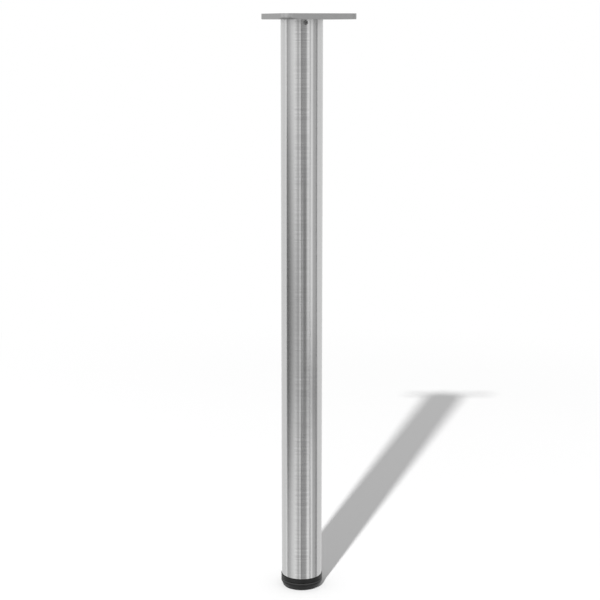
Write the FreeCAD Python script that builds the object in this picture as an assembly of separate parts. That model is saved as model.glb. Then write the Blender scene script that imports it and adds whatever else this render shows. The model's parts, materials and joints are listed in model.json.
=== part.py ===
import FreeCAD, Part
import math
import os

from FreeCAD import Placement, Rotation, Vector

# Round table leg: an eccentric cast plate for the table top, a steel tube on its spigot, and a foot that
# screws in and out of a plastic plug. Millimetres, +Z up, origin on the tube's axis at the floor.

# Driving dimensions
overall_height = 850.0
tube_diameter = 60.0
tube_wall = 1.0

plate_side = 110.0
plate_corner_radius = 12.0
plate_height = 8.0
plate_offset = 9.6
plate_edge_chamfer = 0.6
plate_web = 3.5
plate_rim_wall = 3.0
plate_rib_thickness = 2.4
pocket_corner_radius = 7.0

spigot_length = 24.0
spigot_wall = 4.0
spigot_floor = 3.0

mounting_hole_inset = 13.0
mounting_hole_diameter = 5.5
mounting_hole_sink_diameter = 11.0
mounting_boss_diameter = 15.0

set_screw_diameter = 6.0
set_screw_length = 10.0
set_screw_socket = 3.0
set_screw_socket_depth = 3.5
set_screw_chamfer = 0.5
set_screw_below_plate = 4.4
set_screw_bearing = 9.0
set_screw_pad_wall = 3.5
set_screw_pad_overlap = 1.0

flange_overhang = 0.9
flange_thickness = 6.8
rim_chamfer = 0.8
plug_depth = 28.0
plug_wall = 2.5
plug_rib_thickness = 2.0
plug_rib_count = 6
fin_count = 2
fin_height = 1.4
hub_wall = 3.6
hub_roof = 5.0

nut_across_flats = 16.0
nut_thickness = 8.4
nut_recess = 1.0

stud_diameter = 10.0
stud_chamfer = 1.0
stud_head_diameter = 24.0
stud_head_thickness = 3.0
foot_travel = 20.0
stud_spare_thread = 2.5

disc_height = 11.4
disc_taper_height = 7.0
disc_taper_inset = 3.2
disc_top_thickness = 3.5
disc_contact_width = 3.5
disc_rib_thickness = 2.0
disc_rib_count = 8
disc_rib_lift = 0.6
disc_hub_wall = 3.0
disc_hub_floor = 3.0

# Clearances
spigot_clearance = 0.1
set_screw_hole_clearance = 0.15
thread_clearance = 0.05
fin_clearance = 0.05
plug_clearance = 0.5
stud_passage_clearance = 0.4
seam_gap = 0.3

# Heights and radii that follow from the sizes above
plate_bottom = overall_height - plate_height
flange_bottom = disc_height + seam_gap
flange_top = flange_bottom + flange_thickness
tube_radius = tube_diameter / 2
tube_bore = tube_radius - tube_wall
spigot_radius = tube_bore - spigot_clearance
set_screw_height = plate_bottom - set_screw_below_plate
nut_bottom = flange_bottom + nut_recess
nut_top = nut_bottom + nut_thickness
nut_corner_radius = nut_across_flats / math.sqrt(3)
hub_radius = nut_corner_radius + hub_wall
hub_top = nut_top + hub_roof
stud_radius = stud_diameter / 2
stud_top = nut_top + foot_travel + stud_spare_thread
head_bottom = disc_hub_floor
head_top = head_bottom + stud_head_thickness
foot_radius = tube_radius + flange_overhang
contact_radius = foot_radius - disc_taper_inset


def cylinder(radius, bottom, top, x=0.0, y=0.0):
    """Upright cylinder between two heights."""
    return Part.makeCylinder(radius, top - bottom, Vector(x, y, bottom))


def box(x_size, y_size, bottom, top, x=0.0, y=0.0):
    """Upright box between two heights, centred on a point."""
    corner = Vector(x - x_size / 2, y - y_size / 2, bottom)
    return Part.makeBox(x_size, y_size, top - bottom, corner)


def turned(outline):
    """Solid of revolution about the vertical axis from a closed outline of (radius, height) points."""
    points = [Vector(radius, 0, height) for radius, height in outline]
    face = Part.Face(Part.makePolygon(points + points[:1]))
    return face.revolve(Vector(0, 0, 0), Vector(0, 0, 1), 360)


def ring_edges(shape, radius, height):
    """Round edges about the vertical axis, of one radius at one height."""
    found = []
    for edge in shape.Edges:
        curve = edge.Curve
        if not isinstance(curve, Part.Circle):
            continue
        if abs(curve.Radius - radius) < 0.001 and abs(curve.Center.z - height) < 0.001:
            found.append(edge)
    return found


def upright_edges(shape):
    """Edges that run straight up."""
    return [edge for edge in shape.Edges if edge.BoundBox.XLength + edge.BoundBox.YLength < 0.001]


def level_edges(shape, height):
    """Edges that lie flat at one height."""
    found = []
    for edge in shape.Edges:
        if edge.BoundBox.ZLength < 0.001 and abs(edge.BoundBox.ZMin - height) < 0.001:
            found.append(edge)
    return found


def rounded_square(side, corner_radius, bottom, top):
    """Square prism about the plate's own centre, with round upright corners."""
    prism = box(side, side, bottom, top, x=plate_offset)
    return prism.makeFillet(corner_radius, upright_edges(prism))


def hexagon(across_flats, bottom, top):
    """Upright six-sided prism on the vertical axis."""
    corner = across_flats / math.sqrt(3)
    points = []
    for step in range(7):
        angle = math.radians(60 * step)
        points.append(Vector(corner * math.cos(angle), corner * math.sin(angle), bottom))
    return Part.Face(Part.makePolygon(points)).extrude(Vector(0, 0, top - bottom))


def towards_set_screw(shape, start):
    """Turns a shape's +Z to the set screw's outward direction, with its base at a distance from the axis."""
    bearing = math.radians(set_screw_bearing)
    outward = Vector(-math.sin(bearing), -math.cos(bearing), 0)
    place = outward * start + Vector(0, 0, set_screw_height)
    shape.Placement = Placement(place, Rotation(Vector(0, 0, 1), outward))
    return shape


def spokes(count, thickness, reach, bottom, top):
    """Radial ribs about the axis, as one shape."""
    ribs = []
    for step in range(count):
        rib = box(reach, thickness, bottom, top, x=reach / 2)
        rib.rotate(Vector(0, 0, 0), Vector(0, 0, 1), 360 * step / count)
        ribs.append(rib)
    return ribs[0].fuse(ribs[1:])


def mounting_hole_places():
    """Centres of the four screw holes in the plate."""
    half = plate_side / 2 - mounting_hole_inset
    return [(plate_offset + x, y) for x in (-half, half) for y in (-half, half)]


def plate_ribs():
    """Ribs of the casting's upper side: out from the spigot to each screw boss and to each side."""
    reach = plate_side
    bearings = [math.degrees(math.atan2(y, x)) for x, y in mounting_hole_places()]
    ribs = []
    for bearing in bearings + [0, 90, 180, 270]:
        rib = box(reach, plate_rib_thickness, plate_bottom, overall_height, x=reach / 2)
        rib.rotate(Vector(0, 0, 0), Vector(0, 0, 1), bearing)
        ribs.append(rib)
    return ribs


def mounting_plate():
    """Cast plate, hollow on the table's side, with the eccentric spigot that carries the tube."""
    plate = rounded_square(plate_side, plate_corner_radius, plate_bottom, overall_height)
    plate = plate.makeChamfer(plate_edge_chamfer, level_edges(plate, plate_bottom))

    pocket_floor = plate_bottom + plate_web
    pocket = rounded_square(
        plate_side - 2 * plate_rim_wall, pocket_corner_radius, pocket_floor, overall_height
    )
    kept = [cylinder(spigot_radius, pocket_floor, overall_height)] + plate_ribs()
    for x, y in mounting_hole_places():
        kept.append(cylinder(mounting_boss_diameter / 2, pocket_floor, overall_height, x, y))
    plate = plate.cut(pocket.cut(kept))

    spigot_bottom = plate_bottom - spigot_length
    spigot = cylinder(spigot_radius, spigot_bottom, plate_bottom + plate_web)
    core_radius = spigot_radius - spigot_wall
    core = cylinder(core_radius, spigot_bottom + spigot_floor, overall_height)
    casting = plate.fuse(spigot).cut(core)

    pad_radius = set_screw_diameter / 2 + set_screw_pad_wall
    pad_start = tube_radius - set_screw_length - set_screw_pad_overlap
    pad = Part.makeCylinder(pad_radius, tube_radius - pad_start)
    pad = towards_set_screw(pad, pad_start).common(cylinder(spigot_radius, spigot_bottom, overall_height))
    tapped_hole = Part.makeCylinder(set_screw_diameter / 2 + thread_clearance, tube_radius)
    casting = casting.fuse(pad).cut(towards_set_screw(tapped_hole, pad_start))

    sink_depth = (mounting_hole_sink_diameter - mounting_hole_diameter) / 2
    for x, y in mounting_hole_places():
        hole = cylinder(mounting_hole_diameter / 2, plate_bottom, overall_height, x, y)
        sink = Part.makeCone(
            mounting_hole_sink_diameter / 2, mounting_hole_diameter / 2, sink_depth, Vector(x, y, plate_bottom)
        )
        casting = casting.cut([hole, sink])
    return casting.removeSplitter()


def tube():
    """Steel tube from the plug's flange to the plate, with a round hole for the set screw."""
    outside = cylinder(tube_radius, flange_top, plate_bottom)
    wall = outside.cut(cylinder(tube_bore, flange_top, plate_bottom))
    hole = Part.makeCylinder(set_screw_diameter / 2 + set_screw_hole_clearance, tube_radius)
    return wall.cut(towards_set_screw(hole, tube_radius / 2))


def set_screw():
    """Headless socket screw, level with the tube's surface, that locks the tube on the spigot."""
    radius = set_screw_diameter / 2
    screw = turned([
        (0, 0),
        (radius, 0),
        (radius, set_screw_length - set_screw_chamfer),
        (radius - set_screw_chamfer, set_screw_length),
        (0, set_screw_length),
    ])
    socket = hexagon(set_screw_socket, set_screw_length - set_screw_socket_depth, set_screw_length)
    return towards_set_screw(screw.cut(socket), tube_radius - set_screw_length)


def foot_insert():
    """Moulded plug in the tube's lower end: flange, finned wall, ribs and the hub that holds the nut."""
    plug_radius = tube_bore - plug_clearance
    plug_top = flange_top + plug_depth
    cup_radius = plug_radius - plug_wall
    shell = turned([
        (0, flange_bottom),
        (foot_radius, flange_bottom),
        (foot_radius, flange_top),
        (plug_radius, flange_top),
        (plug_radius, plug_top),
        (cup_radius, plug_top),
        (cup_radius, flange_top),
        (0, flange_top),
    ])
    rims = ring_edges(shell, foot_radius, flange_bottom) + ring_edges(shell, foot_radius, flange_top)
    shell = shell.makeChamfer(rim_chamfer, rims)

    fins = []
    fin_pitch = plug_depth / (fin_count + 1)
    for step in range(fin_count):
        middle = flange_top + fin_pitch * (step + 1)
        fin = cylinder(tube_bore - fin_clearance, middle - fin_height / 2, middle + fin_height / 2)
        fins.append(fin.cut(cylinder(cup_radius, middle - fin_height / 2, middle + fin_height / 2)))
    ribs = spokes(plug_rib_count, plug_rib_thickness, cup_radius + plug_wall / 2, flange_top, hub_top)
    hub = cylinder(hub_radius, flange_bottom, hub_top)
    plug = shell.fuse(fins + [ribs, hub])

    nut_pocket = hexagon(nut_across_flats + 2 * thread_clearance, flange_bottom, nut_top)
    passage = cylinder(stud_radius + stud_passage_clearance, flange_bottom, hub_top)
    return plug.cut([nut_pocket, passage]).removeSplitter()


def insert_nut():
    """Steel nut in the plug, its corners turned off on the open side."""
    flat_radius = nut_across_flats / 2
    corner_drop = (nut_corner_radius - flat_radius) * math.tan(math.radians(30))
    envelope = turned([
        (0, nut_bottom),
        (flat_radius, nut_bottom),
        (nut_corner_radius, nut_bottom + corner_drop),
        (nut_corner_radius, nut_top),
        (0, nut_top),
    ])
    blank = hexagon(nut_across_flats, nut_bottom, nut_top).common(envelope)
    return blank.cut(cylinder(stud_radius + thread_clearance, nut_bottom, nut_top))


def foot_stud():
    """Threaded stud with a round head that the disc is moulded over."""
    head_radius = stud_head_diameter / 2
    return turned([
        (0, head_bottom),
        (head_radius, head_bottom),
        (head_radius, head_top),
        (stud_radius, head_top),
        (stud_radius, stud_top - stud_chamfer),
        (stud_radius - stud_chamfer, stud_top),
        (0, stud_top),
    ])


def foot_disc():
    """Moulded foot disc: open and ribbed underneath, with the stud's head held in its hub."""
    disc = turned([
        (0, 0),
        (contact_radius, 0),
        (foot_radius, disc_taper_height),
        (foot_radius, disc_height - rim_chamfer),
        (foot_radius - rim_chamfer, disc_height),
        (0, disc_height),
    ])

    hollow_top = disc_height - disc_top_thickness
    hollow_radius = contact_radius - disc_contact_width
    hub_outside = stud_head_diameter / 2 + thread_clearance + disc_hub_wall
    hollow = cylinder(hollow_radius, 0, hollow_top)
    hub = cylinder(hub_outside, 0, hollow_top)
    ribs = spokes(disc_rib_count, disc_rib_thickness, contact_radius, disc_rib_lift, hollow_top)
    disc = disc.cut(hollow.cut([hub, ribs]))

    head_space = cylinder(
        stud_head_diameter / 2 + thread_clearance, head_bottom - thread_clearance, head_top + thread_clearance
    )
    stud_space = cylinder(stud_radius + thread_clearance, head_top, disc_height)
    return disc.cut([head_space, stud_space]).removeSplitter()


def single_solid(shape):
    """The one solid of a shape, so that each file holds a plain solid."""
    assert len(shape.Solids) == 1 and shape.isValid()
    return shape.Solids[0]


makers = {
    "mounting_plate": mounting_plate,
    "tube": tube,
    "set_screw": set_screw,
    "foot_insert": foot_insert,
    "insert_nut": insert_nut,
    "foot_stud": foot_stud,
    "foot_disc": foot_disc,
}

os.makedirs("parts", exist_ok=True)
for name, make in makers.items():
    single_solid(make()).exportStep(f"parts/{name}.step")
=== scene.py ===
import json
import math

import bmesh
import bpy
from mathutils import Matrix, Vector


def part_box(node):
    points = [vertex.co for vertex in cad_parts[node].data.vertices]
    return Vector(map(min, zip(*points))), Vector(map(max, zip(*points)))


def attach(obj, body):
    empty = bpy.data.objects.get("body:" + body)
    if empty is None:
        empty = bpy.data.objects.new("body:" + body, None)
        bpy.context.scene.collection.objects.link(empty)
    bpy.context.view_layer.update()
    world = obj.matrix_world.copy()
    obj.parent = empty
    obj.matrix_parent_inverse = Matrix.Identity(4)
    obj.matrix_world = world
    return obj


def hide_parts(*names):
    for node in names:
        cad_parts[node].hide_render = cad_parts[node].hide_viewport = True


# Lengths are metres. A bearing goes round the tube's axis, from -Y towards +X.

# The photograph's frame and where the camera stands, read against the tube's axis
PHOTO_WIDTH_PX = 600
CAMERA_BEARING = math.radians(-19.4)
CAMERA_DISTANCE = 2.0
CAMERA_HEIGHT = 0.835
AIM_HEIGHT = 0.4396
AIM_SIDE = 0.0026
FOCAL_LENGTH_PX = 1394
SENSOR_WIDTH_MM = 36

# Light: one lamp at the front left, and a pale studio all round
KEY_BEARING = math.radians(-16.7)
KEY_DISTANCE = 2.83
KEY_HEIGHT = 2.955
KEY_STRENGTH = 37.4
KEY_RADIUS = 0.055
SHADE_BRIGHTNESS = 0.505

# The card that shades the floor for the plate: its height, and how far behind the tube's axis it stands,
# seen from the camera
CARD_HEIGHT = 0.008
CARD_SETBACK = 0.013

# Brightness of the studio that metal mirrors, by bearing in degrees from the camera's, positive to the
# camera's right
STUDIO_PANELS = [
    (-180, 0.88),
    (-103, 0.97),
    (-94, 1.42),
    (-91, 0.34),
    (-87, 0.50),
    (-81, 0.66),
    (-70, 0.73),
    (-62, 0.94),
    (-50, 1.05),
    (-42, 1.12),
    (-36, 1.12),
    (-31, 0.97),
    (-25, 0.83),
    (-20, 0.50),
    (-15, 0.90),
    (-6.5, 0.98),
    (-4, 0.20),
    (1, 0.48),
    (20, 0.50),
    (26, 0.56),
    (30, 1.00),
    (38, 1.26),
    (44, 0.98),
    (49, 0.62),
    (56, 1.36),
    (62, 1.00),
    (69, 0.64),
    (80, 0.66),
    (88, 0.50),
    (92.3, 0.02),
    (95.2, 0.97),
    (180, 0.86),
]

# Sheer screens round the leg: radius, middle height, half height, height that fades, density
# (below 0 it brightens), and the bearings in degrees from the camera's over which each side fades in
SCREENS = {
    "tall_left": (0.25, 0.39, 0.36, 0.16, 0.46, (-93, -90), (-10, -88)),
    "tall_right": (0.26, 0.378, 0.34, 0.17, 0.17, (-6, 4), (60, 30)),
    "low_left": (0.27, 0.35, 0.22, 0.16, 0.34, (-93, -90), (5, -30)),
    "low_right": (0.28, 0.255, 0.09, 0.07, 0.50, (12, 34), (110, 60)),
    "middle_light": (0.31, 0.40, 0.24, 0.10, -0.42, (-6, -4.5), (7, 5.5)),
    "middle_dark": (0.32, 0.40, 0.24, 0.10, 0.27, (10, 12), (25, 22)),
    "right_light": (0.33, 0.40, 0.24, 0.10, -0.16, (40, 43), (54, 50)),
    "left_line": (0.25, 0.37, 0.36, 0.06, 0.32, (-86, -83), (-75, -78)),
    "right_line": (0.25, -0.06, 0.16, 0.05, 0.34, (44, 46), (52, 50)),
    "right_edge": (0.24, -0.05, 0.65, 0.65, 0.50, (85, 87), (95, 93)),
    "back_dark": (0.29, 0.43, 0.48, 0.02, 0.60, (163, 165), (176, 172)),
    "back_soft": (0.30, 0.43, 0.48, 0.02, 0.35, (178, 180), (199, 190)),
}
SCREEN_STEP = math.radians(3.75)

# Share of the fine grain in a finish; the rest is its blotches
FINE_SHARE = 0.75

# The tube is brushed harder in bands round it, the first at this bearing. A band fades in between two
# cosines of the angle from its middle.
BRUSH_BANDS = 3
BRUSH_BAND_BEARING = math.radians(-19.4)
BRUSH_BAND_EDGE = (0.3, 0.7)

# Painted highlight on the plate's front left corner, and painted shade along that corner's lower edge:
# where each starts and is full, inwards from the corner and down from the top
CORNER_HIGHLIGHT_REACH = (0.014, 0.009)
CORNER_HIGHLIGHT_DEPTH = (-0.0055, -0.0042)
CORNER_HIGHLIGHT_GREY = 0.52
CORNER_SHADE_REACH = (0.024, 0.010)
CORNER_SHADE_DEPTH = (-0.0056, -0.0068)
CORNER_SHADE_GREY = 0.25

# Painted highlight: a pale line just under the disc's upper edge
DISC_HIGHLIGHT_DEPTH = 0.0010
DISC_HIGHLIGHT_SPREAD = 0.0014
DISC_HIGHLIGHT_GREY = 0.042

# Thread of the foot's stud
THREAD_PITCH = 0.0015
THREAD_DEPTH = 0.00092
THREAD_FLANK = 1.2
THREAD_ROWS_PER_TURN = 6
THREAD_SEGMENTS = 48
MERGE_DISTANCE = 0.00001
STUD_RADIUS = 0.005
STUD_TIP_CHAMFER = 0.001
STUD_HEAD_THICKNESS = 0.003
STUD_HEAD_SEGMENTS = 64

FLOOR_SIZE = 30
FLOOR_NEAR_GREY = 0.86
FLOOR_FAR_GREY = 0.96
FLOOR_FADE_START = 1.15
FLOOR_FADE_END = 1.9


def add_object(name, data):
    """A new object in the scene."""
    thing = bpy.data.objects.new(name, data)
    bpy.context.scene.collection.objects.link(thing)
    return thing


def hide_from(thing, kinds):
    """Keeps rays of the given kinds from meeting an object."""
    for kind in kinds:
        setattr(thing, "visible_" + kind, False)


def grey_colour(grey):
    """A grey as a colour."""
    return (grey, grey, grey, 1)


def new_tree_material(name):
    """A material with an empty node tree apart from its output."""
    material = bpy.data.materials.new(name)
    material.use_nodes = True
    tree = material.node_tree
    tree.nodes.clear()
    output = tree.nodes.new("ShaderNodeOutputMaterial")
    return material, tree, output


def add_math(tree, operation, first, second=None):
    """A math node whose inputs are sockets or numbers; gives its output."""
    node = tree.nodes.new("ShaderNodeMath")
    node.operation = operation
    for index, value in enumerate((first, second)):
        if value is None:
            continue
        if isinstance(value, bpy.types.NodeSocket):
            tree.links.new(value, node.inputs[index])
        else:
            node.inputs[index].default_value = value
    return node.outputs[0]


def soft_step(tree, value, start, end):
    """0 before start and 1 past end, smooth between; start may be the larger."""
    ramp = tree.nodes.new("ShaderNodeMapRange")
    ramp.interpolation_type = "SMOOTHSTEP"
    ramp.inputs["From Min"].default_value = min(start, end)
    ramp.inputs["From Max"].default_value = max(start, end)
    ramp.inputs["To Min"].default_value = 0 if start < end else 1
    ramp.inputs["To Max"].default_value = 1 if start < end else 0
    tree.links.new(value, ramp.inputs["Value"])
    return ramp.outputs["Result"]


def mix_colours(tree, amount, first, second):
    """Mixes two colours, each a socket or a grey, by an amount from 0 to 1; gives the mixed colour."""
    blend = tree.nodes.new("ShaderNodeMix")
    blend.data_type = "RGBA"
    tree.links.new(amount, blend.inputs[0])
    for socket, colour in ((blend.inputs[6], first), (blend.inputs[7], second)):
        if isinstance(colour, bpy.types.NodeSocket):
            tree.links.new(colour, socket)
        else:
            socket.default_value = grey_colour(colour)
    return blend.outputs[2]


def bearing_round_axis(tree, place):
    """Bearing of a place or a direction, in radians."""
    return add_math(tree, "ARCTAN2", place["X"], add_math(tree, "MULTIPLY", place["Y"], -1))


def group_input(tree, name, kind, value):
    """Gives a node group a named input with a default."""
    socket = tree.interface.new_socket(name, in_out="INPUT", socket_type="NodeSocket" + kind)
    socket.default_value = value


def build_grain_group():
    """Surface grain: noise stretched by a scale along each axis, with broad blotches under it."""
    group = bpy.data.node_groups.new("surface_grain", "ShaderNodeTree")
    group_input(group, "Stretch", "Vector", (1000, 1000, 1000))
    group_input(group, "Detail", "Float", 3)
    group_input(group, "Blotch Scale", "Float", 20)
    group_input(group, "Dark", "Color", grey_colour(0.4))
    group_input(group, "Light", "Color", grey_colour(0.6))
    group_input(group, "Low Roughness", "Float", 0.3)
    group_input(group, "High Roughness", "Float", 0.5)
    for name, kind in (("Colour", "Color"), ("Roughness", "Float"), ("Height", "Float")):
        group.interface.new_socket(name, in_out="OUTPUT", socket_type="NodeSocket" + kind)

    inside = group.nodes.new("NodeGroupInput").outputs
    outside = group.nodes.new("NodeGroupOutput").inputs
    place = group.nodes.new("ShaderNodeTexCoord").outputs["Object"]

    stretched = group.nodes.new("ShaderNodeVectorMath")
    stretched.operation = "MULTIPLY"
    group.links.new(place, stretched.inputs[0])
    group.links.new(inside["Stretch"], stretched.inputs[1])
    fine = group.nodes.new("ShaderNodeTexNoise")
    fine.inputs["Scale"].default_value = 1
    group.links.new(stretched.outputs[0], fine.inputs["Vector"])
    group.links.new(inside["Detail"], fine.inputs["Detail"])

    blotches = group.nodes.new("ShaderNodeTexNoise")
    blotches.inputs["Detail"].default_value = 2
    group.links.new(place, blotches.inputs["Vector"])
    group.links.new(inside["Blotch Scale"], blotches.inputs["Scale"])

    fine_part = add_math(group, "MULTIPLY", fine.outputs["Fac"], FINE_SHARE)
    blotch_part = add_math(group, "MULTIPLY", blotches.outputs["Fac"], 1 - FINE_SHARE)
    both = add_math(group, "ADD", fine_part, blotch_part)
    rough = group.nodes.new("ShaderNodeMix")
    group.links.new(both, rough.inputs[0])
    group.links.new(inside["Low Roughness"], rough.inputs[2])
    group.links.new(inside["High Roughness"], rough.inputs[3])

    group.links.new(mix_colours(group, both, inside["Dark"], inside["Light"]), outside["Colour"])
    group.links.new(rough.outputs[0], outside["Roughness"])
    group.links.new(fine.outputs["Fac"], outside["Height"])
    return group


def grain_node(tree, group, stretch, detail, blotch_scale, dark, light):
    """The surface grain with its own scales and its two greys."""
    grain = tree.nodes.new("ShaderNodeGroup")
    grain.node_tree = group
    grain.inputs["Stretch"].default_value = stretch
    grain.inputs["Detail"].default_value = detail
    grain.inputs["Blotch Scale"].default_value = blotch_scale
    grain.inputs["Dark"].default_value = grey_colour(dark)
    grain.inputs["Light"].default_value = grey_colour(light)
    return grain


def blend_colour(tree, shader, amount, colour):
    """Blends the shader's base colour towards another, a socket or a grey."""
    before = shader.inputs["Base Color"].links[0].from_socket
    tree.links.new(mix_colours(tree, amount, before, colour), shader.inputs["Base Color"])


def object_place(tree, origin=(0, 0, 0)):
    """X, Y and Z of the surface, from an origin."""
    from_origin = tree.nodes.new("ShaderNodeVectorMath")
    from_origin.operation = "SUBTRACT"
    from_origin.inputs[1].default_value = origin
    tree.links.new(tree.nodes.new("ShaderNodeTexCoord").outputs["Object"], from_origin.inputs[0])
    place = tree.nodes.new("ShaderNodeSeparateXYZ")
    tree.links.new(from_origin.outputs["Vector"], place.inputs[0])
    return place.outputs


def grained_material(
    name, group, stretch, detail, blotch_scale, dark, light, roughness, bump, metallic, **extra,
):
    """A surface whose colour, roughness and bump all follow one grain."""
    material, tree, output = new_tree_material(name)
    shader = tree.nodes.new("ShaderNodeBsdfPrincipled")
    grain = grain_node(tree, group, stretch, detail, blotch_scale, dark, light)
    grain.inputs["Low Roughness"].default_value = roughness[0]
    grain.inputs["High Roughness"].default_value = roughness[1]
    bump_node = tree.nodes.new("ShaderNodeBump")
    bump_node.inputs["Strength"].default_value = 1
    bump_node.inputs["Distance"].default_value = bump
    tree.links.new(grain.outputs["Height"], bump_node.inputs["Height"])
    tree.links.new(bump_node.outputs["Normal"], shader.inputs["Normal"])
    tree.links.new(grain.outputs["Colour"], shader.inputs["Base Color"])
    tree.links.new(grain.outputs["Roughness"], shader.inputs["Roughness"])
    shader.inputs["Metallic"].default_value = metallic
    for socket, value in extra.items():
        shader.inputs[socket.replace("_", " ")].default_value = value
    tree.links.new(shader.outputs["BSDF"], output.inputs["Surface"])
    return material, tree, shader


def make_brushed_nickel(group):
    """Nickel plate brushed round the tube, harder in bands; the brushing draws its gloss out upwards."""
    material, tree, shader = grained_material(
        "brushed_nickel", group,
        stretch=(26, 26, 520), detail=5, blotch_scale=9,
        dark=0.54, light=0.62, roughness=(0.20, 0.26), bump=0.000004, metallic=1,
        Anisotropic=1.0, Anisotropic_Rotation=0.25,
    )
    hard_lines = grain_node(
        tree, group, stretch=(18, 18, 620), detail=0, blotch_scale=9, dark=0.485, light=0.675,
    )
    bearing = bearing_round_axis(tree, object_place(tree))
    from_band = add_math(tree, "SUBTRACT", bearing, BRUSH_BAND_BEARING)
    nearness = add_math(tree, "COSINE", add_math(tree, "MULTIPLY", from_band, BRUSH_BANDS))
    in_band = soft_step(tree, nearness, *BRUSH_BAND_EDGE)
    blend_colour(tree, shader, in_band, hard_lines.outputs["Colour"])
    tangent = tree.nodes.new("ShaderNodeTangent")
    tangent.direction_type = "RADIAL"
    tangent.axis = "Z"
    tree.links.new(tangent.outputs["Tangent"], shader.inputs["Tangent"])
    return material


def make_satin_casting(group):
    """Satin casting, with a painted highlight on its front left corner above and painted shade along the
    corner's lower edge.
    """
    material, tree, shader = grained_material(
        "satin_casting", group,
        stretch=(900, 900, 900), detail=3, blotch_scale=60,
        dark=0.34, light=0.47, roughness=(0.42, 0.58), bump=0.000012, metallic=1,
    )
    low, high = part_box("mounting_plate")
    place = object_place(tree, origin=(low.x, low.y, high.z))
    from_corner = add_math(tree, "ADD", place["X"], place["Y"])
    # Painted highlight: the corner's upper part is made paler
    painted_highlight = add_math(
        tree, "MULTIPLY",
        soft_step(tree, from_corner, *CORNER_HIGHLIGHT_REACH),
        soft_step(tree, place["Z"], *CORNER_HIGHLIGHT_DEPTH),
    )
    blend_colour(tree, shader, painted_highlight, CORNER_HIGHLIGHT_GREY)
    # Painted shade: the corner's lower edge is made darker
    painted_shade = add_math(
        tree, "MULTIPLY",
        soft_step(tree, from_corner, *CORNER_SHADE_REACH),
        soft_step(tree, place["Z"], *CORNER_SHADE_DEPTH),
    )
    blend_colour(tree, shader, painted_shade, CORNER_SHADE_GREY)
    return material


def make_black_plastic(group):
    """Moulded plastic with faint lines round it, and a painted highlight just under the disc's upper edge.
    """
    material, tree, shader = grained_material(
        "moulded_black_plastic", group,
        stretch=(60, 60, 700), detail=3, blotch_scale=50,
        dark=0.003, light=0.016, roughness=(0.34, 0.54), bump=0.00008, metallic=0,
        Specular_IOR_Level=0.24,
    )
    _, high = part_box("foot_disc")
    above_line = object_place(tree, origin=(0, 0, high.z - DISC_HIGHLIGHT_DEPTH))["Z"]
    # Painted highlight: a pale line just under the disc's upper edge
    painted_highlight = soft_step(tree, add_math(tree, "ABSOLUTE", above_line), DISC_HIGHLIGHT_SPREAD, 0)
    blend_colour(tree, shader, painted_highlight, DISC_HIGHLIGHT_GREY)
    return material


def make_materials():
    """The leg's finishes, by the slot names that the record gives them."""
    group = build_grain_group()
    black_screw, _, _ = grained_material(
        "blackened_steel", group,
        stretch=(1500, 1500, 1500), detail=2, blotch_scale=150,
        dark=0.20, light=0.34, roughness=(0.35, 0.5), bump=0.000006, metallic=1,
    )
    zinc, _, _ = grained_material(
        "zinc_plated_steel", group,
        stretch=(1200, 1200, 1200), detail=2, blotch_scale=120,
        dark=0.52, light=0.66, roughness=(0.22, 0.34), bump=0.000004, metallic=1,
    )
    return {
        "brushed_nickel": make_brushed_nickel(group),
        "plated_casting": make_satin_casting(group),
        "dark_screw": black_screw,
        "zinc_steel": zinc,
        "black_plastic": make_black_plastic(group),
    }


def dress_nodes(frame, materials):
    """Gives each CAD node its finish."""
    for part in frame["record"]["subparts"]:
        piece = frame["nodes"][part["node"]]
        piece.data.materials.clear()
        piece.data.materials.append(materials[part["material_slot"]])


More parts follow.
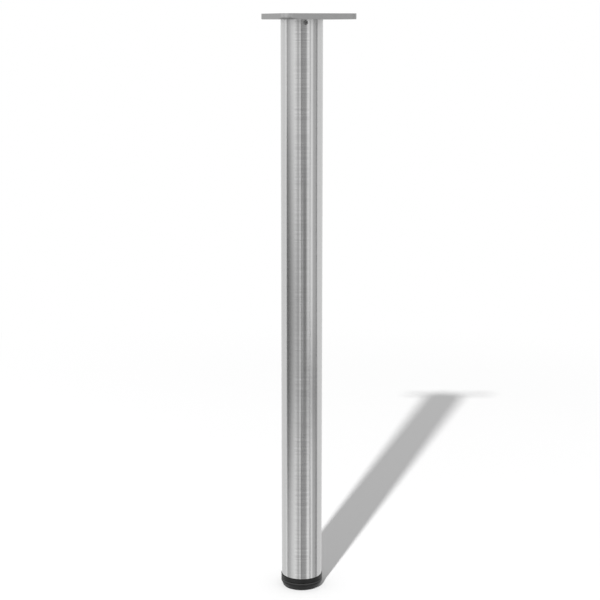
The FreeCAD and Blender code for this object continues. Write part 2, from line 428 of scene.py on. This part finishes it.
def build_thread_tree(material):
    """Geometry tree of a screw thread: a sheet wrapped round the axis, cut in by its place in the pitch."""
    tree = bpy.data.node_groups.new("screw_thread", "GeometryNodeTree")
    group_input(tree, "Major Radius", "Float", STUD_RADIUS)
    group_input(tree, "Thread Depth", "Float", THREAD_DEPTH)
    group_input(tree, "Pitch", "Float", THREAD_PITCH)
    group_input(tree, "Bottom", "Float", 0.0)
    group_input(tree, "Length", "Float", THREAD_PITCH)
    group_input(tree, "Tip Chamfer", "Float", STUD_TIP_CHAMFER)
    group_input(tree, "Segments", "Int", THREAD_SEGMENTS)
    group_input(tree, "Rows", "Int", THREAD_ROWS_PER_TURN)
    tree.interface.new_socket("Geometry", in_out="OUTPUT", socket_type="NodeSocketGeometry")
    given = tree.nodes.new("NodeGroupInput").outputs
    result = tree.nodes.new("NodeGroupOutput").inputs["Geometry"]

    sheet = tree.nodes.new("GeometryNodeMeshGrid")
    sheet.inputs["Size X"].default_value = 1
    sheet.inputs["Size Y"].default_value = 1
    tree.links.new(add_math(tree, "ADD", given["Segments"], 1), sheet.inputs["Vertices X"])
    tree.links.new(add_math(tree, "ADD", given["Rows"], 1), sheet.inputs["Vertices Y"])

    place = tree.nodes.new("ShaderNodeSeparateXYZ")
    tree.links.new(tree.nodes.new("GeometryNodeInputPosition").outputs[0], place.inputs[0])
    around = add_math(tree, "ADD", place.outputs["X"], 0.5)
    along = add_math(tree, "ADD", place.outputs["Y"], 0.5)
    height = add_math(tree, "MULTIPLY", along, given["Length"])
    turns = add_math(tree, "DIVIDE", height, given["Pitch"])
    phase = add_math(tree, "FRACT", add_math(tree, "SUBTRACT", turns, around))
    from_crest = add_math(tree, "SUBTRACT", add_math(tree, "MULTIPLY", phase, 2), 1)
    slope = add_math(tree, "MULTIPLY", add_math(tree, "ABSOLUTE", from_crest), THREAD_FLANK)
    cut = add_math(tree, "MULTIPLY", add_math(tree, "MINIMUM", slope, 1), given["Thread Depth"])
    radius = add_math(tree, "SUBTRACT", given["Major Radius"], cut)
    from_tip = add_math(tree, "SUBTRACT", given["Length"], height)
    tip_radius = add_math(tree, "SUBTRACT", given["Major Radius"], given["Tip Chamfer"])
    radius = add_math(tree, "MINIMUM", radius, add_math(tree, "ADD", tip_radius, from_tip))

    angle = add_math(tree, "MULTIPLY", around, 2 * math.pi)
    wrapped = tree.nodes.new("ShaderNodeCombineXYZ")
    tree.links.new(add_math(tree, "MULTIPLY", radius, add_math(tree, "COSINE", angle)), wrapped.inputs["X"])
    tree.links.new(add_math(tree, "MULTIPLY", radius, add_math(tree, "SINE", angle)), wrapped.inputs["Y"])
    tree.links.new(add_math(tree, "ADD", height, given["Bottom"]), wrapped.inputs["Z"])
    moved = tree.nodes.new("GeometryNodeSetPosition")
    tree.links.new(sheet.outputs["Mesh"], moved.inputs["Geometry"])
    tree.links.new(wrapped.outputs[0], moved.inputs["Position"])
    merged = tree.nodes.new("GeometryNodeMergeByDistance")
    merged.inputs["Distance"].default_value = MERGE_DISTANCE
    tree.links.new(moved.outputs["Geometry"], merged.inputs["Geometry"])
    realized = tree.nodes.new("GeometryNodeRealizeInstances")
    tree.links.new(merged.outputs["Geometry"], realized.inputs["Geometry"])
    finished = tree.nodes.new("GeometryNodeSetMaterial")
    finished.inputs["Material"].default_value = material
    tree.links.new(realized.outputs["Geometry"], finished.inputs["Geometry"])
    tree.links.new(finished.outputs["Geometry"], result)
    return tree


def thread_mesh(material, bottom, top):
    """The thread's surface between two heights, as a plain mesh."""
    rows = round((top - bottom) / THREAD_PITCH * THREAD_ROWS_PER_TURN)
    values = {"Bottom": bottom, "Length": top - bottom, "Rows": rows}
    carrier = add_object("thread_carrier", bpy.data.meshes.new("thread_carrier"))
    modifier = carrier.modifiers.new("thread", "NODES")
    modifier.node_group = build_thread_tree(material)
    for item in modifier.node_group.interface.items_tree:
        if item.name in values:
            modifier[item.identifier] = values[item.name]
    evaluated = carrier.evaluated_get(bpy.context.evaluated_depsgraph_get())
    mesh = bpy.data.meshes.new_from_object(evaluated)
    carrier.modifiers.remove(modifier)
    bpy.data.objects.remove(carrier)
    return mesh


def make_stud(materials):
    """The foot's stud: a rolled thread over a round head, closed at both ends."""
    low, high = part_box("foot_stud")
    head_top = low.z + STUD_HEAD_THICKNESS
    shape = bmesh.new()
    shape.from_mesh(thread_mesh(materials["zinc_steel"], head_top, high.z))
    open_edges = [edge for edge in shape.edges if edge.is_boundary]
    bmesh.ops.holes_fill(shape, edges=open_edges, sides=0)
    head = bmesh.ops.create_cone(
        shape, cap_ends=True, segments=STUD_HEAD_SEGMENTS, depth=STUD_HEAD_THICKNESS,
        radius1=high.x, radius2=high.x,
    )
    middle = low.z + STUD_HEAD_THICKNESS / 2
    bmesh.ops.translate(shape, verts=head["verts"], vec=Vector((0, 0, middle)))
    bmesh.ops.recalc_face_normals(shape, faces=shape.faces)
    mesh = bpy.data.meshes.new("threaded_stud")
    shape.to_mesh(mesh)
    shape.free()
    mesh.materials.append(materials["zinc_steel"])
    stud = add_object("threaded_stud", mesh)
    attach(stud, "stud")
    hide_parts("foot_stud")


def floor_material():
    """Pale near the leg, where its shadow falls; the camera sees white far off and nothing from below."""
    material, tree, output = new_tree_material("studio_floor")
    shader = tree.nodes.new("ShaderNodeBsdfDiffuse")
    white = tree.nodes.new("ShaderNodeEmission")
    from_leg = tree.nodes.new("ShaderNodeVectorMath")
    from_leg.operation = "LENGTH"
    tree.links.new(tree.nodes.new("ShaderNodeTexCoord").outputs["Object"], from_leg.inputs[0])
    grey = tree.nodes.new("ShaderNodeMapRange")
    grey.inputs["From Max"].default_value = FLOOR_FADE_END
    grey.inputs["To Min"].default_value = FLOOR_NEAR_GREY
    grey.inputs["To Max"].default_value = FLOOR_FAR_GREY
    tree.links.new(from_leg.outputs["Value"], grey.inputs["Value"])
    tree.links.new(grey.outputs["Result"], shader.inputs["Color"])
    far = soft_step(tree, from_leg.outputs["Value"], FLOOR_FADE_START, FLOOR_FADE_END)
    path = tree.nodes.new("ShaderNodeLightPath")
    mixed = tree.nodes.new("ShaderNodeMixShader")
    seen_far = add_math(tree, "MULTIPLY", far, path.outputs["Is Camera Ray"])
    tree.links.new(seen_far, mixed.inputs["Fac"])
    tree.links.new(shader.outputs["BSDF"], mixed.inputs[1])
    tree.links.new(white.outputs["Emission"], mixed.inputs[2])
    open_below = tree.nodes.new("ShaderNodeMixShader")
    underneath = tree.nodes.new("ShaderNodeNewGeometry").outputs["Backfacing"]
    seen_below = add_math(tree, "MULTIPLY", underneath, path.outputs["Is Camera Ray"])
    tree.links.new(seen_below, open_below.inputs["Fac"])
    tree.links.new(mixed.outputs["Shader"], open_below.inputs[1])
    tree.links.new(tree.nodes.new("ShaderNodeBsdfTransparent").outputs["BSDF"], open_below.inputs[2])
    tree.links.new(open_below.outputs["Shader"], output.inputs["Surface"])
    return material


def make_floor():
    """A square floor under the foot."""
    mesh = bpy.data.meshes.new("floor")
    half = FLOOR_SIZE / 2
    corners = [(-half, -half, 0), (half, -half, 0), (half, half, 0), (-half, half, 0)]
    mesh.from_pydata(corners, [], [(0, 1, 2, 3)])
    mesh.materials.append(floor_material())
    floor = add_object("floor", mesh)
    hide_from(floor, ["glossy"])
    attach(floor, "foot")


def screen_material(name, middle, half_height, fade, density, left_edge, right_edge):
    """Sheer shade, or brightness, that fades in from each side of a screen."""
    material, tree, output = new_tree_material("screen_" + name)
    place = object_place(tree)
    bearing = bearing_round_axis(tree, place)
    from_camera = add_math(tree, "DEGREES", add_math(tree, "SUBTRACT", bearing, CAMERA_BEARING))
    from_middle = add_math(tree, "ABSOLUTE", add_math(tree, "SUBTRACT", place["Z"], middle))
    shade = soft_step(tree, from_middle, half_height, half_height - fade)
    for edge in (left_edge, right_edge):
        shade = add_math(tree, "MULTIPLY", shade, soft_step(tree, from_camera, *edge))
    passed = add_math(tree, "SUBTRACT", 1, add_math(tree, "MULTIPLY", shade, density))
    clear = tree.nodes.new("ShaderNodeBsdfTransparent")
    tree.links.new(passed, clear.inputs["Color"])
    tree.links.new(clear.outputs["BSDF"], output.inputs["Surface"])
    return material


def make_screen(name, radius, middle, half_height, fade, density, left_edge, right_edge):
    """A sheer upright screen that only metal mirrors: it shades or brightens part of the tube."""
    start, end = math.radians(left_edge[0]), math.radians(right_edge[0])
    steps = math.ceil((end - start) / SCREEN_STEP)
    shape = bmesh.new()
    columns = []
    for step in range(steps + 1):
        base = from_camera_bearing(start + (end - start) * step / steps, radius)
        ends = [base + Vector((0, 0, middle + side * half_height)) for side in (-1, 1)]
        columns.append([shape.verts.new(point) for point in ends])
    for first, second in zip(columns, columns[1:]):
        shape.faces.new((first[0], second[0], second[1], first[1]))
    mesh = bpy.data.meshes.new("screen_" + name)
    shape.to_mesh(mesh)
    shape.free()
    mesh.materials.append(screen_material(name, middle, half_height, fade, density, left_edge, right_edge))
    screen = add_object("screen_" + name, mesh)
    hide_from(screen, ["camera", "diffuse", "transmission", "volume_scatter", "shadow"])


def make_studio():
    """White to the camera, panels of light and shade to metal, an even pale light to all else."""
    world = bpy.data.worlds.new("studio")
    bpy.context.scene.world = world
    world.use_nodes = True
    tree = world.node_tree
    tree.nodes.clear()
    direction = tree.nodes.new("ShaderNodeSeparateXYZ")
    tree.links.new(tree.nodes.new("ShaderNodeTexCoord").outputs["Generated"], direction.inputs[0])
    bearing = bearing_round_axis(tree, direction.outputs)
    from_camera = add_math(tree, "SUBTRACT", bearing, CAMERA_BEARING)
    turns = add_math(tree, "DIVIDE", from_camera, 2 * math.pi)
    share = add_math(tree, "FRACT", add_math(tree, "ADD", turns, 0.5))
    panels = tree.nodes.new("ShaderNodeValToRGB")
    tree.links.new(share, panels.inputs["Fac"])
    stops = panels.color_ramp.elements
    # The ramp starts with two stops, and the others are added
    for index, (degrees, brightness) in enumerate(STUDIO_PANELS):
        position = (degrees + 180) / 360
        stop = stops[index] if index < 2 else stops.new(position)
        stop.position = position
        stop.color = grey_colour(brightness)

    path = tree.nodes.new("ShaderNodeLightPath")
    shade = mix_colours(tree, path.outputs["Is Glossy Ray"], SHADE_BRIGHTNESS, panels.outputs["Color"])
    background = tree.nodes.new("ShaderNodeBackground")
    tree.links.new(mix_colours(tree, path.outputs["Is Camera Ray"], shade, 1), background.inputs["Color"])
    output = tree.nodes.new("ShaderNodeOutputWorld")
    tree.links.new(background.outputs[0], output.inputs["Surface"])


def from_camera_bearing(bearing, distance):
    """A point on the floor at a bearing from the camera's own direction, round the tube's axis."""
    angle = CAMERA_BEARING + bearing
    return Vector((math.sin(angle) * distance, -math.cos(angle) * distance, 0))


def camera_right():
    """The level direction to the camera's right."""
    return Vector((math.cos(CAMERA_BEARING), math.sin(CAMERA_BEARING), 0))


def make_key_light():
    """A lamp at the front left, as bright far off as near; metal doesn't mirror it."""
    light = bpy.data.lights.new("key", "POINT")
    light.energy = KEY_STRENGTH
    light.shadow_soft_size = KEY_RADIUS
    light.use_nodes = True
    tree = light.node_tree
    emission = tree.nodes["Emission"]
    falloff = tree.nodes.new("ShaderNodeLightFalloff")
    falloff.inputs["Strength"].default_value = 1
    tree.links.new(falloff.outputs["Constant"], emission.inputs["Strength"])
    key = add_object("key", light)
    key.location = from_camera_bearing(KEY_BEARING, KEY_DISTANCE) + Vector((0, 0, KEY_HEIGHT))
    hide_from(key, ["glossy"])
    return key


def make_plate_card(frame, key):
    """A card that shades the floor for the plate, as thinly as in the photograph."""
    let_through = bpy.data.collections.new("let_through")
    let_through.objects.link(frame["nodes"]["mounting_plate"])
    let_through.collection_objects[0].light_linking.link_state = "EXCLUDE"
    key.light_linking.blocker_collection = let_through

    low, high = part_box("mounting_plate")
    right = camera_right()
    sides = [Vector((x, y, 0)).dot(right) for x in (low.x, high.x) for y in (low.y, high.y)]
    behind = from_camera_bearing(math.pi, CARD_SETBACK)
    ends = (behind + right * min(sides), behind + right * max(sides))
    heights = (high.z - CARD_HEIGHT, high.z)
    corners = [end + Vector((0, 0, height)) for end in ends for height in heights]
    mesh = bpy.data.meshes.new("plate_card")
    mesh.from_pydata(corners, [], [(0, 2, 3, 1)])
    card = add_object("plate_card", mesh)
    hide_from(card, ["camera", "diffuse", "glossy", "transmission", "volume_scatter"])
    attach(card, "leg")


def make_camera():
    """Level with the plate and looking down the leg, as the photograph was taken."""
    data = bpy.data.cameras.new("camera")
    data.sensor_width = SENSOR_WIDTH_MM
    data.lens = FOCAL_LENGTH_PX * SENSOR_WIDTH_MM / PHOTO_WIDTH_PX
    camera = add_object("camera", data)
    camera.location = from_camera_bearing(0, CAMERA_DISTANCE) + Vector((0, 0, CAMERA_HEIGHT))
    aim = Vector((0, 0, AIM_HEIGHT)) - camera_right() * AIM_SIDE
    camera.rotation_euler = (aim - camera.location).to_track_quat("-Z", "Y").to_euler()
    bpy.context.scene.camera = camera


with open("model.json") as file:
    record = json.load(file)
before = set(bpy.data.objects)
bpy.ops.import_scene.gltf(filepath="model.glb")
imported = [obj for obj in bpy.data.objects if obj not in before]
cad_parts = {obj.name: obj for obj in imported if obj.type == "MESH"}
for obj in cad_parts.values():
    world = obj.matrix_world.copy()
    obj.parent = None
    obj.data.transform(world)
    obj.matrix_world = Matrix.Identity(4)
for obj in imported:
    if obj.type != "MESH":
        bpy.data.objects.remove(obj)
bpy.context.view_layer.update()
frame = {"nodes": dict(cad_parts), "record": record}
materials = make_materials()
dress_nodes(frame, materials)
make_stud(materials)
make_floor()
for name, settings in SCREENS.items():
    make_screen(name, *settings)
make_studio()
make_plate_card(frame, make_key_light())
make_camera()
bpy.context.scene.view_settings.view_transform = "Standard"
